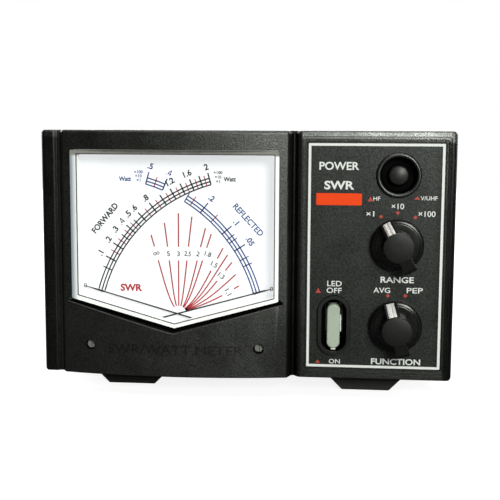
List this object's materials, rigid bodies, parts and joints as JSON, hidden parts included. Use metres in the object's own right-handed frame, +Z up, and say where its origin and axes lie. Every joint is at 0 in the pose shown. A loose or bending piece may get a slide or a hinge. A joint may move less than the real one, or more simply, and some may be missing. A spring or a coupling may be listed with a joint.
{
  "type": "cross-needle swr and power meter",
  "caption": "Bench SWR and power meter with a cross-needle dial in a bowed front, two skirted pointer knobs, two push buttons, rear coaxial sockets and rubber feet.",
  "frame": {"origin": "on the ground under the centre of the bounding box", "axes": "+X to the right seen from the front, +Y from the front panel to the rear sockets, +Z up"},
  "size_m": [0.155, 0.1368, 0.1],
  "materials": {
    "black_moulding": "fine texture",
    "label_plate": "printed satin",
    "clear_plastic": "clear, polished",
    "white_moulding": "satin",
    "dial_card": "printed matte",
    "circuit_board": "solder mask",
    "needle_black": "matte paint",
    "coil_copper": "enamelled wire",
    "plated_steel": "zinc plated",
    "brass_parts": "satin",
    "zero_screw_plastic": "satin",
    "gloss_black": "glossy",
    "bright_insert": "bright",
    "shaft_steel": "turned",
    "switch_plastic": "moulded",
    "button_black": "satin",
    "button_grey": "satin",
    "painted_case": "black texture paint",
    "screw_steel": "plated",
    "foot_rubber": "matte",
    "insulator_white": "smooth",
    "jack_black": "moulded"
  },
  "bodies": {
    "housing": {"front_bezel": "black_moulding", "control_plate": "label_plate", "meter_window": "clear_plastic", "meter_case": "white_moulding", "dial_plate": "dial_card", "lamp_board": "circuit_board", "main_board": "circuit_board", "forward_magnet": "plated_steel", "reflected_magnet": "plated_steel", "range_nut": "plated_steel", "function_nut": "plated_steel", "hf_coupler": "plated_steel", "vuhf_coupler": "plated_steel", "forward_bridge": "brass_parts", "reflected_bridge": "brass_parts", "hf_radio_contact": "brass_parts", "hf_antenna_contact": "brass_parts", "vuhf_radio_contact": "brass_parts", "vuhf_antenna_contact": "brass_parts", "hf_radio_socket": "bright_insert", "hf_antenna_socket": "bright_insert", "vuhf_radio_socket": "bright_insert", "vuhf_antenna_socket": "bright_insert", "sensor_spring": "shaft_steel", "led_spring": "shaft_steel", "range_switch": "switch_plastic", "function_switch": "switch_plastic", "sensor_switch": "switch_plastic", "led_switch": "switch_plastic", "chassis": "painted_case", "top_cover": "painted_case", "side_screw_1": "screw_steel", "side_screw_2": "screw_steel", "side_screw_3": "screw_steel", "side_screw_4": "screw_steel", "front_left_foot": "foot_rubber", "front_right_foot": "foot_rubber", "rear_left_foot": "foot_rubber", "rear_right_foot": "foot_rubber", "hf_radio_insulator": "insulator_white", "hf_antenna_insulator": "insulator_white", "vuhf_radio_insulator": "insulator_white", "vuhf_antenna_insulator": "insulator_white", "dc_jack": "jack_black"},
    "forward_movement": {"forward_needle": "needle_black", "forward_coil": "coil_copper"},
    "reflected_movement": {"reflected_needle": "needle_black", "reflected_coil": "coil_copper"},
    "forward_zero_adjuster": {"forward_zero_screw": "zero_screw_plastic"},
    "reflected_zero_adjuster": {"reflected_zero_screw": "zero_screw_plastic"},
    "forward_zero_arm": {"forward_zero_lever": "brass_parts"},
    "reflected_zero_arm": {"reflected_zero_lever": "brass_parts"},
    "range_control": {"range_knob": "gloss_black", "range_pointer": "bright_insert", "range_shaft": "shaft_steel"},
    "function_control": {"function_knob": "gloss_black", "function_pointer": "bright_insert", "function_shaft": "shaft_steel"},
    "sensor_push": {"sensor_button": "button_black"},
    "led_push": {"led_button": "button_grey"}
  },
  "joints": [
    {"name": "forward_needle_swing", "type": "hinge", "parent": "housing", "child": "forward_movement", "pos_m": [0.0025, -0.0501, 0.0215], "axis": [0, 1, 0], "range_deg": [-2, 61]},
    {"name": "reflected_needle_swing", "type": "hinge", "parent": "housing", "child": "reflected_movement", "pos_m": [-0.0557, -0.0492, 0.0215], "axis": [0, -1, 0], "range_deg": [-2, 61]},
    {"name": "forward_zero_screw_turn", "type": "hinge", "parent": "housing", "child": "forward_zero_adjuster", "pos_m": [0.00565, -0.0536, 0.01885], "axis": [0, 1, 0], "range_deg": [-40, 40]},
    {"name": "reflected_zero_screw_turn", "type": "hinge", "parent": "housing", "child": "reflected_zero_adjuster", "pos_m": [-0.05885, -0.0536, 0.01885], "axis": [0, 1, 0], "range_deg": [-40, 40]},
    {"name": "forward_zero_lever_turn", "type": "hinge", "parent": "housing", "child": "forward_zero_arm", "pos_m": [0.0025, -0.0516, 0.0215], "axis": [0, 1, 0], "range_deg": [-7.5, 7.5]},
    {"name": "reflected_zero_lever_turn", "type": "hinge", "parent": "housing", "child": "reflected_zero_arm", "pos_m": [-0.0557, -0.0516, 0.0215], "axis": [0, 1, 0], "range_deg": [-7.5, 7.5]},
    {"name": "range_knob_turn", "type": "hinge", "parent": "housing", "child": "range_control", "pos_m": [0.0567, -0.0566, 0.0587], "axis": [0, 1, 0], "range_deg": [0, 56]},
    {"name": "function_knob_turn", "type": "hinge", "parent": "housing", "child": "function_control", "pos_m": [0.0567, -0.0566, 0.0282], "axis": [0, 1, 0], "range_deg": [0, 30]},
    {"name": "sensor_button_press", "type": "slide", "parent": "housing", "child": "sensor_push", "axis": [0, 1, 0], "range_m": [0, 0.003], "deforming": ["sensor_spring"]},
    {"name": "led_button_press", "type": "slide", "parent": "housing", "child": "led_push", "axis": [0, 1, 0], "range_m": [0, 0.003], "deforming": ["led_spring"]}
  ],
  "couplings": [
    {"joint": "forward_zero_lever_turn", "follows": "forward_zero_screw_turn", "ratio": 0.1794},
    {"joint": "reflected_zero_lever_turn", "follows": "reflected_zero_screw_turn", "ratio": 0.1794}
  ]
}
